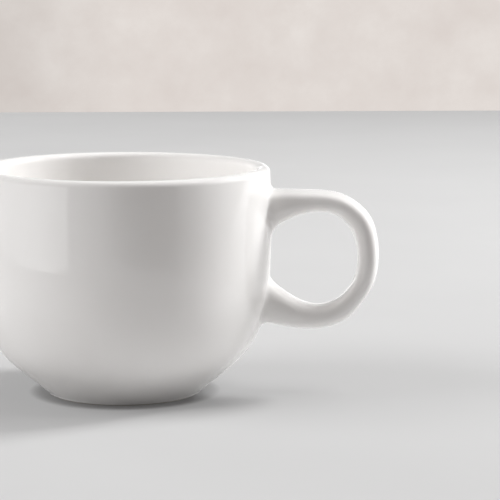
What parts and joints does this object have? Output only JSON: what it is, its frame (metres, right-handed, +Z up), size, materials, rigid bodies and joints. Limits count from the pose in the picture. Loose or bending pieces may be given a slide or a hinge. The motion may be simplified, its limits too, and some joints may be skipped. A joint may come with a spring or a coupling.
{
  "type": "shaving mug",
  "caption": "Thick-walled glazed porcelain lather mug with a rounded bowl, soft lip, bare foot ring and a D-shaped one-finger strap handle.",
  "frame": {"origin": "on the cup axis, at the plane of the foot's contact face", "axes": "+Z up along the cup axis, +X along the handle's reach, Y across the handle"},
  "size_m": [0.1309, 0.0958, 0.074],
  "materials": {
    "glazed_porcelain": "glossy clear glaze over a neutral white body",
    "bare_bisque": "matt, unglazed, slightly warm"
  },
  "bodies": {
    "root": {"mug_body": "glazed_porcelain", "foot_ring": "bare_bisque", "handle": "glazed_porcelain", "upper_slip_joint": "glazed_porcelain", "lower_slip_joint": "glazed_porcelain"}
  },
  "joints": []
}
